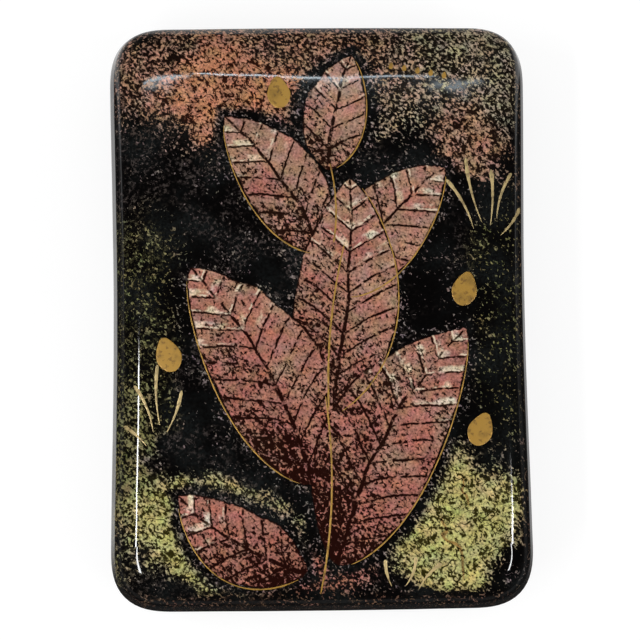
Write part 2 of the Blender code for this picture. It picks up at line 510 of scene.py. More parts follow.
@geometry_tree
def cast_shell(tree):
    """Sweeps a section round the plan outline, as the mould of a slip casting is turned."""
    section = tree.input("Section", "Geometry")
    width, length, bow, crown = tree.inputs("Width", "Length", "End Bow", "Crown")
    corner_reach, inner_reach = tree.inputs("Corner Reach", "Inner Corner Reach")
    power, waist = tree.inputs("Corner Power", "Side Waist")
    wobble, wobble_reach = tree.inputs("Hand Wobble", "Wobble Reach")
    long_steps, corner_steps, short_steps = tree.inputs(
        "Long Side Steps", "Corner Steps", "Short Side Steps", kind="Int"
    )
    material = tree.input("Glaze", "Material")

    half_width = width * 0.5
    half_length = length * 0.5 - bow
    quarter = long_steps + corner_steps + short_steps
    size = tree.add("GeometryNodeAttributeDomainSize", {"Geometry": section})
    rows = tree.out(size, "Point Count")
    grid = tree.add("GeometryNodeMeshGrid", {
        "Size X": quarter * 4, "Size Y": rows - 1, "Vertices X": quarter * 4 + 1, "Vertices Y": rows,
    })
    grid_x, grid_y, _ = tree.split(tree.add("GeometryNodeInputPosition"))
    column = tree.math("MODULO", tree.math("ROUND", grid_x + quarter * 2), quarter * 4)
    row = tree.math("ROUND", grid_y + (rows - 1) * 0.5)

    def at_row(value, data_type):
        inputs = {"Geometry": section, "Value": value, "Index": row}
        return tree.out(tree.add("GeometryNodeSampleIndex", inputs, data_type=data_type))

    position = tree.out(tree.add("GeometryNodeInputPosition"))
    inset, end_extra, height = tree.split(at_row(position, "FLOAT_VECTOR"))
    shrink = at_row(named_number(tree, "shrink"), "FLOAT")
    crowned = at_row(named_number(tree, "crowned"), "FLOAT")

    turn = tree.math("FLOOR", column / quarter)
    within = column - turn * quarter
    backwards = tree.math("MODULO", turn, 2.0)
    step = tree.blend(backwards, within, quarter - within)
    on_long = tree.step(step, 0.0, long_steps)
    on_corner = tree.step(step, long_steps, long_steps + corner_steps)
    on_short = tree.step(step, long_steps + corner_steps, quarter)
    angle = on_corner * (math.pi / 2)
    cosine, sine = tree.math("COSINE", angle), tree.math("SINE", angle)
    reach_out = (abs(cosine) ** power + abs(sine) ** power) ** (-1.0 / power)

    end_inset = inset + end_extra
    reach = tree.maximum(corner_reach - inset, inner_reach)
    end_reach = tree.maximum(corner_reach - end_inset, inner_reach)
    straight_x = half_width - inset - reach
    straight_y = half_length - end_inset - end_reach
    plain_x = straight_x * (1.0 - on_short) + reach * cosine * reach_out
    plain_y = straight_y * on_long + end_reach * sine * reach_out
    waist_share = tree.math("COSINE", tree.minimum(plain_y / half_length, 1.0) * (math.pi / 2))
    bow_share = tree.math("COSINE", tree.minimum(plain_x / half_width, 1.0) * (math.pi / 2))
    left = tree.math("LESS_THAN", abs(turn - 1.5), 1.0)
    below = tree.math("GREATER_THAN", turn, 1.5)
    x = (plain_x - waist * waist_share**2.0 * plain_x / half_width) * (1.0 - left * 2.0) * shrink
    y = (plain_y + bow * bow_share**2.0 * plain_y / half_length) * (1.0 - below * 2.0) * shrink
    drop = crown * (1.0 - (1.0 - (x / half_width) ** 2.0) * (1.0 - (y / half_length) ** 2.0))
    shell = tree.add("GeometryNodeSetPosition", {
        "Geometry": tree.out(grid, "Mesh"), "Position": tree.vector(x, y, height - drop * crowned),
    })
    merged = tree.add("GeometryNodeMergeByDistance", {"Geometry": shell, "Distance": MM / 500})

    stray = tree.noise(tree.shade(position, 1.0 / wobble_reach), 1.0, 1.0) - 0.5
    normal = tree.out(tree.add("GeometryNodeInputNormal"))
    offset = tree.shade(normal, stray * 2.0 * wobble)
    waved = tree.add("GeometryNodeSetPosition", {"Geometry": merged, "Offset": offset})
    finish_tree(tree, waved, material)


def finish_tree(tree, geometry, material):
    """The last nodes of every tree: smooth shading, real geometry, the material."""
    smooth = tree.add("GeometryNodeSetShadeSmooth", {"Geometry": geometry})
    real = tree.add("GeometryNodeRealizeInstances", {"Geometry": smooth})
    glazed = tree.add("GeometryNodeSetMaterial", {"Geometry": real, "Material": material})
    tree.output("Piece", glazed, "Geometry")


def draped(tree, geometry, surface, flatness, lift):
    """Lays geometry that was made flat at zero height on the surface below it."""
    top = 1.0
    x, y, z = tree.split(tree.add("GeometryNodeInputPosition"))
    target = tree.add("GeometryNodeObjectInfo", {"Object": surface})
    ray = tree.add("GeometryNodeRaycast", {
        "Target Geometry": tree.out(target, "Geometry"), "Source Position": tree.vector(x, y, top),
        "Ray Direction": (0, 0, -1), "Ray Length": top,
    })
    _, _, ground = tree.split(tree.out(ray, "Hit Position"))
    return tree.add("GeometryNodeSetPosition", {
        "Geometry": geometry, "Position": tree.vector(x, y, ground + z * flatness + lift),
    })


@geometry_tree
def brushed_strokes(tree):
    """Lines of fired gold along drawn paths, fuller and thinner as the brush went."""
    paths = tree.input("Paths", "Geometry")
    surface = tree.input("Surface", "Object")
    body = tree.input("Body")
    material = tree.input("Gold", "Material")
    curves = tree.add("GeometryNodeMeshToCurve", {"Mesh": paths})
    profile = tree.add("GeometryNodeCurvePrimitiveCircle", {"Resolution": 8, "Radius": 1.0})
    width = named_number(tree, "half_width")
    uneven = tree.noise(tree.add("GeometryNodeInputPosition"), 2.4 * MM) * 1.4 + 0.3
    tube = tree.add("GeometryNodeCurveToMesh", {
        "Curve": curves, "Profile Curve": profile, "Scale": width * uneven, "Fill Caps": True,
    })
    flatness, lift = 0.12, 0.4
    finish_tree(tree, draped(tree, tube, surface, flatness, body * lift), material)


@geometry_tree
def enamel_pads(tree):
    """Seed-shaped pads at marked points, each pointed at its upper end."""
    points = tree.input("Points", "Geometry")
    surface = tree.input("Surface", "Object")
    body = tree.input("Body")
    material = tree.input("Gold", "Material")
    ball = tree.add("GeometryNodeMeshUVSphere", {"Segments": 40, "Rings": 14, "Radius": 1.0})
    x, y, z = tree.split(tree.add("GeometryNodeInputPosition"))
    point, flattening = 0.32, 0.45
    pointed = 1.0 - point * tree.smooth(y, -0.3, 1.0)
    flat = tree.math("SIGN", z) * abs(z) ** flattening
    seed = tree.add("GeometryNodeSetPosition", {
        "Geometry": tree.out(ball, "Mesh"), "Position": tree.vector(x * pointed, y, flat),
    })
    turn = tree.vector(0.0, 0.0, named_number(tree, "turn"))
    half_width, half_length = named_number(tree, "half_width"), named_number(tree, "half_length")
    placed = tree.add("GeometryNodeInstanceOnPoints", {
        "Points": points, "Instance": seed,
        "Rotation": tree.add("FunctionNodeEulerToRotation", {"Euler": turn}),
        "Scale": tree.vector(half_width, half_length, body),
    })
    real = tree.add("GeometryNodeRealizeInstances", {"Geometry": placed})
    finish_tree(tree, draped(tree, real, surface, 1.0, 0.0), material)


def marked_mesh(name, points, edges, **marks):
    """A mesh of bare points and edges, with numbers stored on its points."""
    mesh = bpy.data.meshes.new(name)
    mesh.from_pydata(points, edges, [])
    for mark, values in marks.items():
        attribute = mesh.attributes.new(mark, "FLOAT", "POINT")
        attribute.data.foreach_set("value", values)
    return mesh


def grown(name, mesh, group, inputs):
    """Runs a tree on a mesh, and keeps what it makes as a plain mesh."""
    piece = in_scene(name, mesh)
    modifier = piece.modifiers.new(group.name, "NODES")
    modifier.node_group = group
    for socket in group.interface.items_tree:
        if socket.in_out == "INPUT" and socket.name in inputs:
            modifier[socket.identifier] = inputs[socket.name]
    evaluated = piece.evaluated_get(bpy.context.evaluated_depsgraph_get())
    made = bpy.data.meshes.new_from_object(evaluated)
    piece.modifiers.remove(modifier)
    piece.data = made
    made.name = name
    if not made.polygons:
        raise RuntimeError(f"{name} came out empty")
    made.set_sharp_from_angle(angle=math.radians(40))
    return piece


def labelled(group):
    """A property group's values by their labels, which the inputs of a tree share."""
    found = [item for item in group.bl_rna.properties if item.identifier in group.__annotations__]
    return {item.name: getattr(group, item.identifier) for item in found}


def cast(name, section, plan, crown, material):
    """One of the two castings."""
    insets, end_extras, heights, shrink, crowned = zip(*section)
    points = list(zip(insets, end_extras, heights))
    edges = [(k, k + 1) for k in range(len(points) - 1)]
    mesh = marked_mesh(name, points, edges, shrink=shrink, crowned=crowned)
    return grown(name, mesh, cast_shell(), {**labelled(plan), "Crown": crown, "Glaze": material})


# The picture on the lid: a spray of pointed leaves, in millimetres from the lid's middle

# Each leaf: where it starts, its direction in degrees, length, half width and the sag of its midrib
LEAVES = (
    (3, 42, 79, 36, 9.5, -1.5),
    (0, 17, 124, 50, 12.0, 3.0),
    (6, 4, 51, 50, 12.5, -3.0),
    (-5, -78, 149, 44, 11.0, -3.0),
    (2, -32, 84, 72, 15.5, 2.0),
    (-3, -52, 119, 74, 16.5, 5.0),
    (4, -76, 61, 80, 17.5, -6.0),
)
VEIN_SPACING = 6.2

# Where the sponged washes lie: colour, cover, centre and reach
WASHES = (
    ("olive", 0.20, (-55, -10), (15, 44)),
    ("olive", 0.50, (-58, -44), (13, 24)),
    ("olive", 0.10, (56, 2), (15, 44)),
    ("beige", 0.46, (40, 72), (40, 24)),
    ("peach", 0.49, (-22, 74), (52, 28)),
    ("orange", 0.70, (-27, 66), (23, 16)),
    ("peach", 0.52, (44, 50), (15, 14)),
    ("lime", 0.72, (-36, -68), (30, 18)),
    ("lime", 0.73, (36, -60), (25, 24)),
    ("ochre", 0.84, (24, -62), (0.7, 8)),
    ("ochre", 0.84, (37, -70), (0.8, 6)),
    ("ochre", 0.84, (46, -56), (0.6, 7)),
    ("ochre", 0.78, (-44, -66), (0.7, 6)),
    ("ochre", 0.78, (-33, -74), (0.8, 5)),
    ("deep_pink", 0.42, (0, -82), (20, 10)),
)

# Short strokes of gold: start, direction in degrees, length and sag
GOLD_STROKES = (
    (46, 24, 118, 17, 1.0),
    (48.5, 26, 103, 20, -0.8),
    (51, 25, 88, 17, 0.6),
    (53, 27, 71, 15, -1.0),
    (54, 22, 54, 11, 0.6),
    (-50, -36, 112, 15, 1.0),
    (-48, -34, 92, 18, -0.8),
    (-46, -36, 70, 13, 0.6),
    (-52, -40, 138, 9, 0.4),
    (24, -82, 70, 9, 0.8),
    (28, -83, 48, 10, -0.8),
    (20, -82, 104, 8, -0.5),
)

# Long stems of gold, in the same terms
GOLD_STEMS = (
    (-1, -84, 88, 58, 2.5),
    (2, -30, 84, 50, -1.8),
    (4, 20, 92, 24, 1.2),
)

# Gold pads: centre, half width, half length and turn in degrees
GOLD_PODS = (
    (-45.5, -13, 3.9, 5.3, 18),
    (43, 6, 3.9, 5.2, -14),
    (-12, 66, 3.6, 4.9, 6),
    (47, -36, 3.8, 5.1, -22),
)

# The row of gold beads: its first and last centre, how many, and the rest of each pad
BEAD_ROW = (22, 74, 38, 71, 5)
BEAD = (0.7, 1.05, -10)


def arch(share):
    """0 at both ends of a stroke and 1 at its middle, of a number or a wire."""
    return 4 * share * (1 - share)


def along_stroke(start_x, start_y, direction, reach, sag, share):
    """A point part of the way along a sagging stroke."""
    turn = math.radians(direction)
    across = -sag * arch(share)
    x = start_x + math.cos(turn) * reach * share - math.sin(turn) * across
    y = start_y + math.sin(turn) * reach * share + math.cos(turn) * across
    return x, y


def stroke_path(stroke, steps):
    """All of a stroke, in even steps."""
    return [along_stroke(*stroke, k / steps) for k in range(steps + 1)]


def leaf_half_width(half_width, share):
    """Half a leaf's width part of the way along it, of numbers or wires."""
    roundness, fullness, taper = 0.75, 1.15, 0.3
    return half_width * arch(share) ** roundness * (fullness - taper * share)


def along_leaf(leaf, side, share):
    """A point of a leaf's outline, on one side of its midrib or the other."""
    start_x, start_y, direction, reach, half_width, sag = leaf
    x, y = along_stroke(start_x, start_y, direction, reach, sag, share)
    turn = math.radians(direction)
    out = side * leaf_half_width(half_width, share)
    return x - math.sin(turn) * out, y + math.cos(turn) * out


def leaf_edge(leaf, side):
    """The gold line down one side of a leaf, which stops short of both its ends."""
    first, reach, steps = 0.03, 0.93, 60
    return [along_leaf(leaf, side, first + reach * k / steps) for k in range(steps + 1)]


@shader_group
def painted_leaf(tree):
    """One leaf: where it lies, how thickly it is sponged, and its black drawing."""
    x, y, _ = tree.split(tree.input("Place", "Vector"))
    start_x, start_y, turn, reach = tree.inputs("Start X", "Start Y", "Direction", "Length")
    half_width, sag, spacing = tree.inputs("Half Width", "Sag", "Vein Spacing")
    across_x, across_y = x - start_x, y - start_y
    cosine, sine = tree.math("COSINE", turn), tree.math("SINE", turn)
    along = across_x * cosine + across_y * sine
    share = tree.step(along, 0.0, reach)
    off = across_y * cosine - across_x * sine + sag * arch(share)
    side = abs(off)
    depth = leaf_half_width(half_width, share) - side - abs(along - share * reach)
    inside = tree.smooth(depth, 0.1, 0.4)
    outline = tree.fade(abs(depth - 0.25), 0.22, 0.55)
    rib = tree.fade(side - (1.0 - share) * 0.35, 0.18, 0.5)
    step = (share * reach - side * 0.85 + side * side * 0.012) / spacing
    past_vein = (step - tree.math("ROUND", step)) * spacing * 0.76
    vein = tree.fade(abs(past_vein), 0.16, 0.46) * tree.smooth(depth, 0.2, 1.2)
    scratch = tree.fade(abs(past_vein - 0.62), 0.1, 0.34)
    bloom = tree.fade(abs(past_vein - 1.1), 0.3, 1.6)
    far = inside * tree.smooth(share, 0.6, 0.75)
    shaded = tree.smooth(off, -0.5, 3.0) * tree.fade(share, 0.55, 0.9) * 0.26
    tree.output("Inside", inside)
    tree.output("Cover", 0.5 + tree.smooth(share, 0.0, 0.5) * 0.46 - shaded)
    tree.output("Drawing", tree.maximum(outline, tree.maximum(rib, vein) * inside))
    tree.output("Scratch", scratch * far)
    tree.output("Bloom", bloom * far)
    tree.output("Shadow", tree.smooth(depth, -6.0, -0.5))


@shader_group
def sponged_flecks(tree):
    """Grains of enamel over the ground, lighter in their middles and mottled in hue."""
    place = tree.input("Place", "Vector")
    cover = tree.input("Cover")
    tint = tree.input("Tint", "Color")
    x, y, z = tree.split(place)
    skewed = tree.vector((x - y) * 0.64, (x + y) * 0.78, z)
    grain = tree.noise(skewed, 1.0, 2.0, 0.6, 0.4)
    clump = tree.noise(place, 3.4, 1.0) - 0.5
    bare_level, gain = 0.655, 0.3
    height = grain + clump * 0.22 - bare_level + cover * gain
    fine = tree.noise(place, 0.65, 1.0) - 0.5
    slow = tree.noise(place, 6.0, 1.0) - 0.5
    tone = 0.6 + tree.smooth(height, 0.0, 0.16) * 0.38 + fine * 1.9 + slow * 0.6
    hue_spacing, hue_swing, hue_floor = 25 / 6, (0.54, 0.42, 0.66), (0.73, 0.79, 0.67)
    hue = tree.noise(place, hue_spacing, 1.0, output="Color")
    shift = tree.vector_math("MULTIPLY_ADD", hue, hue_swing, hue_floor)
    mottled = tree.vector_math("MULTIPLY", tint, shift)
    film = tree.smooth(height, -0.3, 0.0) * tree.step(cover, 0.0, 0.5) * 0.015
    tree.output("Flecks", tree.maximum(tree.step(height, -0.02, 0.035), film))
    tree.output("Tint", tree.shade(mottled, tone), "Color")


@shader_group
def dusted_ground(tree):
    """The black ground: grainy where it pooled, with dim dust from the sponge in drifts."""
    place = tree.input("Place", "Vector")
    ground, pooled_tint, dust_tint = tree.inputs("Ground", "Pooled", "Dust", kind="Color")
    grain = tree.smooth(tree.noise(place, 0.75, 3.0, 0.65), 0.36, 0.66)
    pooled = tree.smooth(tree.noise(place, 15.0, 3.0), 0.42, 0.72)
    x, _, _ = tree.split(place)
    more_to_the_left = x * -0.0016
    drift = tree.smooth(tree.noise(place, 12.0, 3.0, 0.6) + more_to_the_left, 0.46, 0.64)
    dust = tree.smooth(tree.noise(place, 1.1, 3.0, 0.65), 0.5, 0.7)
    mottled = tree.paint(pooled * (0.2 + grain * 0.8), ground, pooled_tint)
    tree.output("Colour", tree.paint(dust * (0.02 + drift * 0.75), mottled, dust_tint), "Color")


@shader_group
def wash(tree):
    """A soft-edged patch of one colour."""
    x, y, _ = tree.split(tree.input("Place", "Vector"))
    centre_x, centre_y, reach_x, reach_y = tree.inputs("Centre X", "Centre Y", "Reach X", "Reach Y")
    out = ((x - centre_x) / reach_x) ** 2.0 + ((y - centre_y) / reach_y) ** 2.0
    tree.output("Patch", tree.fade(out, 0.35, 1.3))


@shader_group
def needle_curves(tree):
    """Loose broken curves, as a needle draws them through the wet enamel."""
    place = tree.input("Place", "Vector")
    level = tree.noise(place, 8.0, 1.0)
    near = tree.minimum(abs(level - 0.46), abs(level - 0.57))
    broken = tree.smooth(tree.noise(place, 5.0), 0.47, 0.53)
    tree.output("Line", tree.fade(near, 0.004, 0.011) * broken)


@shader_group
def thick_glaze(tree):
    """The skin of a thick glaze: gloss that varies a little, and a relief in millimetres."""
    place = tree.input("Place", "Vector")
    flecks = tree.input("Flecks")
    wave = tree.noise(place, 9.0, 1.0)
    peel = tree.noise(place, 2.2, 1.0)
    slow = tree.noise(place, 16.0, 1.0)
    pits = tree.smooth(tree.noise(place, 0.9, 0.0), 0.16, 0.2)
    tree.output("Roughness", 0.035 + flecks * 0.03 + slow * 0.04)
    tree.output("Relief", flecks * 0.0001 + wave * 0.05 + peel * 0.001 + pits * 0.001)


@shader_group
def edge_break(tree):
    """Where the glaze runs thin over a lip at one height."""
    place = tree.input("Place", "Vector")
    _, _, z = tree.split(place)
    from_edge = abs(z - tree.input("Lip Height")) + tree.noise(place, 5.0, 2.0) * 1.1 - 0.55
    tree.output("Thin", tree.fade(from_edge, 0.25, tree.input("Reach")))


@shader_group
def inset_from_sides(tree):
    """How far a point lies inside the plan's sides and ends."""
    x, y, _ = tree.split(tree.input("Place", "Vector"))
    from_side = tree.input("Half Width") - abs(x)
    from_end = tree.input("Half Length") - abs(y)
    tree.output("Inset", tree.minimum(from_side, from_end))


@shader_group
def brushed_gold(tree):
    """Gold that was brushed on and fired, worn and cloudy in places."""
    place = tree.input("Place", "Vector")
    tint, worn_tint = tree.inputs("Tint", "Worn Tint", kind="Color")
    cloud = tree.noise(place, 4.0, 3.0)
    worn = tree.smooth(tree.noise(place, 1.3, 3.0), 0.54, 0.66)
    tone = tree.paint(tree.smooth(cloud, 0.46, 0.72), tint, tree.shade(tint, 0.62))
    tree.output("Colour", tree.paint(worn * 0.5, tone, worn_tint), "Color")
    tree.output("Roughness", 0.24 + cloud * 0.3)
    tree.output("Relief", tree.noise(place, 0.6, 2.0) * 0.02)


@shader_group
def bare_clay(tree):
    """Dry clay: uneven in tone, with dark specks and a fine tooth."""
    place = tree.input("Place", "Vector")
    clay, speck = tree.inputs("Clay", "Speck", kind="Color")
    tone = 0.78 + tree.noise(place, 7.0, 4.0) * 0.44
    specks = tree.smooth(tree.noise(place, 1.2, 2.0), 0.6, 0.72)
    tree.output("Colour", tree.paint(specks * 0.5, tree.shade(clay, tone), speck), "Color")
    tree.output("Relief", tree.noise(place, 0.5, 2.0) * 0.05)


def half_plan(plan):
    """Half the box's width and length, in millimetres."""
    return plan.width / MM / 2, plan.length / MM / 2


def inset_of(tree, place, plan):
    """How far a point of a material lies inside the box's sides and ends, in millimetres."""
    side, end = half_plan(plan)
    inputs = {"Place": place, "Half Width": side, "Half Length": end}
    return tree.use(inset_from_sides(), inputs)["Inset"]


def relief(tree, shader, surface):
    """Feeds a surface's gloss and relief to its shader."""
    bump = tree.add("ShaderNodeBump", {"Strength": 1.0, "Distance": MM, "Height": surface["Relief"]})
    tree.feed(shader.inputs["Roughness"], surface["Roughness"])
    tree.feed(shader.inputs["Normal"], bump)


def leave_dry(tree, place, shader, colours, dry, painted, surface):
    """Feeds a glaze to its shader, with bare clay instead of it where it is dry."""
    clay = tree.use(bare_clay(), {
        "Place": place, "Clay": colours.clay[:], "Speck": colours.thin_brown[:],
    })
    tree.feed(shader.inputs["Base Color"], tree.paint(dry, painted, clay["Colour"]))
    relief(tree, shader, {
        "Roughness": tree.blend(dry, surface["Roughness"], 0.78),
        "Relief": tree.blend(dry, surface["Relief"], clay["Relief"]),
    })


def washed_ground(tree, place, colours):
    """The colour and the cover of the washes, before the leaves."""
    soft = tree.jitter(tree.jitter(place, 26.0, 26.0), 7.0, 9.0)
    tint = colours.smoke[:]
    cover = tree.smooth(tree.noise(place, 11.0, 2.0), 0.42, 0.66) * 0.22 - 0.16
    for name, thickness, (centre_x, centre_y), (reach_x, reach_y) in WASHES:
        patch = tree.use(wash(), {
            "Place": soft, "Centre X": centre_x, "Centre Y": centre_y,
            "Reach X": reach_x, "Reach Y": reach_y,
        })["Patch"]
        tint = tree.paint(patch, tint, getattr(colours, name)[:])
        cover = tree.blend(patch, cover, thickness)
    return tint, cover


def leaf_layers(tree, place):
    """All the leaves, each laid over those before it."""
    drawn = tree.jitter(tree.jitter(place, 11.0, 2.2), 1.1, 0.75)
    layers = dict.fromkeys(("Inside", "Cover", "Drawing", "Scratch", "Bloom", "Shadow"), 0.0)
    for start_x, start_y, direction, reach, half_width, sag in LEAVES:
        leaf = tree.use(painted_leaf(), {
            "Place": drawn, "Start X": start_x, "Start Y": start_y,
            "Direction": math.radians(direction), "Length": reach, "Half Width": half_width,
            "Sag": sag, "Vein Spacing": VEIN_SPACING,
        })
        inside = leaf["Inside"]
        for layer in ("Cover", "Scratch", "Bloom"):
            layers[layer] = tree.blend(inside, layers[layer], leaf[layer])
        layers["Drawing"] = tree.maximum((1.0 - inside) * layers["Drawing"], leaf["Drawing"])
        layers["Inside"] = tree.maximum(layers["Inside"], inside)
        layers["Shadow"] = tree.maximum(layers["Shadow"], leaf["Shadow"])
    return layers


def margin(tree, place, plan):
    """1 over the picture, falling to 0 where it ends short of the lid's edges."""
    x, y, _ = tree.split(tree.jitter(place, 9.0, 4.0))
    side, end = half_plan(plan)
    left = tree.smooth(x, -side - 1.0, -side + 2.5)
    right = tree.smooth(x, side - 1.5, side - 6.0)
    top = tree.smooth(y, end + 1.5, end - 2.5)
    bottom = tree.smooth(y, -end + 3.5, -end + 7.5)
    return left * right * top * bottom


def painted_lid(tree, place, plan, colours):
    """The colour of the painted lid, and where its enamel lies."""
    _, y, z = tree.split(place)
    tint, cover = washed_ground(tree, place, colours)
    leaves = leaf_layers(tree, place)
    patchy = tree.noise(place, 13.0, 2.0)
    leaf_cover = leaves["Cover"] + (patchy - 0.5) * 0.6 + y * 0.002
    thick = tree.smooth(patchy - y * 0.0025, 0.35, 0.65)
    bloom = leaves["Bloom"] * tree.smooth(tree.noise(place, 5.0, 3.0), 0.46, 0.62)
    leaf_tint = tree.paint(thick, colours.pink[:], colours.deep_pink[:])
    leaf_tint = tree.paint(bloom * 0.85, leaf_tint, colours.cream[:])
    cover = tree.blend(leaves["Shadow"], cover, 0.15)
    tint = tree.paint(leaves["Shadow"], tint, colours.smoke[:])
    cover = tree.blend(leaves["Inside"], cover + (patchy - 0.5) * 0.3, leaf_cover)
    tint = tree.paint(leaves["Inside"], tint, leaf_tint)
    above_seat = z - SEAT / MM
    outside = tree.smooth(above_seat, 0.6, 5.0)
    framed = margin(tree, place, plan)
    cover = tree.blend(framed, 0.16, cover) * outside
    tint = tree.paint(framed, tree.shade(colours.peach[:], 0.42), tint)
    flecks = tree.use(sponged_flecks(), {"Place": place, "Cover": cover, "Tint": tint})
    drawing = leaves["Drawing"] * tree.smooth(tree.noise(place, 2.2, 2.0), 0.34, 0.46)
    curves = tree.use(needle_curves(), {"Place": place})["Line"] * (1.0 - leaves["Inside"])
    mask = flecks["Flecks"] * (1.0 - tree.maximum(drawing, curves))
    scratch = leaves["Scratch"] * tree.smooth(tree.noise(place, 3.2, 3.0), 0.46, 0.56)
    ground = tree.use(dusted_ground(), {
        "Place": place, "Ground": colours.black[:], "Pooled": colours.slate[:],
        "Dust": tree.shade(tint, 0.3),
    })["Colour"]
    enamelled = tree.maximum(leaves["Inside"], tree.smooth(cover, 0.3, 0.7))
    stained = tree.shade(tree.vector_math("MULTIPLY", tint, tint), 0.09)
    ground = tree.paint(enamelled, ground, stained)
    painted = tree.paint(mask, ground, flecks["Tint"])
    return tree.paint(scratch * (0.2 + mask * 0.6), painted, colours.cream[:]), mask


def decorated_glaze(plan, lid, colours):
    """The lid: painted over its black glaze, plain inside, and dry on its seat."""
    material, tree, shader = new_material("decorated_glaze")
    place = place_in_mm(tree)
    painted, mask = painted_lid(tree, place, plan, colours)
    hollow = lid_hollow(tree, place, plan, lid)
    painted = tree.paint(hollow, painted, colours.black[:])
    lip = {"Place": place, "Lip Height": SEAT / MM + 0.4, "Reach": 1.3}
    thin = tree.use(edge_break(), lip)["Thin"]
    painted = tree.paint(thin * 0.75, painted, colours.thin_brown[:])
    dry = dry_seat(tree, place, plan)
    surface = tree.use(thick_glaze(), {"Place": place, "Flecks": mask * (1.0 - hollow)})
    leave_dry(tree, place, shader, colours, dry, painted, surface)
    return material


def lid_hollow(tree, place, plan, lid):
    """The ceiling of the lid and the walls round it, where nothing is painted."""
    _, _, z = tree.split(place)
    ceiling = (SEAT + lid.rise - lid.thickness) / MM
    ring = (plan.wall + lid.clearance + lid.flange / 2) / MM
    low = tree.fade(z - ceiling, 0.4, 1.0)
    return low * tree.smooth(inset_of(tree, place, plan), ring, ring + 0.5)


def dry_seat(tree, place, plan):
    """The unglazed ring that the lid rests on."""
    _, _, z = tree.split(place)
    above_seat = z - SEAT / MM
    low = tree.fade(above_seat, 0.12, 0.22)
    return low * tree.smooth(inset_of(tree, place, plan), 0.4, 0.8)


def plain_glaze(plan, base, colours):
    """The base: the same black ground, stray flecks below the lid, a dry foot."""
    material, tree, shader = new_material("plain_glaze")
    place = place_in_mm(tree)
    _, _, z = tree.split(place)
    inset = inset_of(tree, place, plan)
    outside = tree.fade(inset, 2.6, 3.2)
    rim = BASE_HEIGHT / MM
    towards_rim = tree.smooth(z, rim * 0.2, rim) * outside
    cover = towards_rim * 0.22 - 0.17 + tree.noise(place, 14.0, 2.0) * 0.2
    lower = tree.smooth(tree.noise(place, 24.0, 1.0), 0.4, 0.6)
    tint = tree.paint(lower, colours.olive[:], colours.peach[:])
    flecks = tree.use(sponged_flecks(), {"Place": place, "Cover": cover, "Tint": tint})
    shown = flecks["Flecks"] * outside * 0.6
    painted = tree.paint(shown, colours.black[:], flecks["Tint"])
    lip = tree.use(edge_break(), {"Place": place, "Lip Height": rim, "Reach": 1.4})["Thin"]
    wall = plan.wall / MM
    flat = tree.smooth(inset, 0.5, 1.5) * tree.smooth(inset, wall - 0.5, wall - 1.5)
    lip = lip * (1.0 - flat * tree.smooth(tree.noise(place, 4.0, 3.0), 0.34, 0.54) * 0.85)
    foot = tree.use(edge_break(), {"Place": place, "Lip Height": 0.6, "Reach": 1.2})["Thin"]
    painted = tree.paint(tree.maximum(lip, foot) * 0.8, painted, colours.thin_brown[:])
    glaze_line = z + tree.noise(place, 7.0, 2.0) * 0.9
    ring = (base.draft + base.bottom_rounding + base.foot_width + base.foot_recess) / MM
    dry = tree.fade(glaze_line, 0.75, 0.95) * tree.fade(inset, ring, ring + 1.0)
    surface = tree.use(thick_glaze(), {"Place": place, "Flecks": shown})
    leave_dry(tree, place, shader, colours, dry, painted, surface)
    return material


def fired_gold(name, tint, worn_tint):
    """The gold of one kind of stroke or pad."""
    material, tree, shader = new_material(name)
    gold = tree.use(brushed_gold(), {
        "Place": place_in_mm(tree), "Tint": tint[:], "Worn Tint": worn_tint[:],
    })
    tree.feed(shader.inputs["Base Color"], gold["Colour"])
    shader.inputs["Metallic"].default_value = 0.3
    relief(tree, shader, gold)
    return material


# Operators and the panel


def settings(context):
    """All the box's sizes and colours."""
    return context.scene.cigarette_box


def ride_on(piece, body):
    """Makes a piece move with a body."""
    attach(piece, body)


class BOX_OT_base(bpy.types.Operator):
    """Casts the open base and gives it its plain black glaze"""

    bl_idname = "cigarette_box.base"
    bl_label = "Base"

    def execute(self, context):
        box = settings(context)
        material = plain_glaze(box.plan, box.base, box.colours)
        piece = cast("base_casting", base_section(box.plan, box.base), box.plan, 0.0, material)
        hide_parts("base")
        ride_on(piece, "base")
        return {"FINISHED"}


class BOX_OT_lid(bpy.types.Operator):
    """Casts the lid and paints it"""

    bl_idname = "cigarette_box.lid"
    bl_label = "Lid"

    def execute(self, context):
        box = settings(context)
        material = decorated_glaze(box.plan, box.lid, box.colours)
        piece = cast("lid_casting", lid_section(box.plan, box.lid), box.plan, box.lid.crown, material)
        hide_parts("lid")
        ride_on(piece, "lid")
        return {"FINISHED"}


def stroke_mesh(name, strokes):
    """Paths of (points, half widths) as one mesh of edges."""
    points, edges, widths = [], [], []
    for path, half_widths in strokes:
        first = len(points)
        points += [(x * MM, y * MM, 0.0) for x, y in path]
        edges += [(k, k + 1) for k in range(first, len(points) - 1)]
        widths += half_widths
    return marked_mesh(name, points, edges, half_width=widths)


def tapered(path, thick, thin):
    """A path with half widths that fall from its end to its start, both ends rounded off."""
    last = len(path) - 1
    rounding_off, blunt = 14, 0.1
    widths = []
    for k in range(last + 1):
        share = k / last
        ends = (share, 1 - share)
        round_off = min(1.0, *(math.sqrt(end * rounding_off + blunt) for end in ends))
        widths.append((thin + (thick - thin) * share) * round_off)
    return path, widths


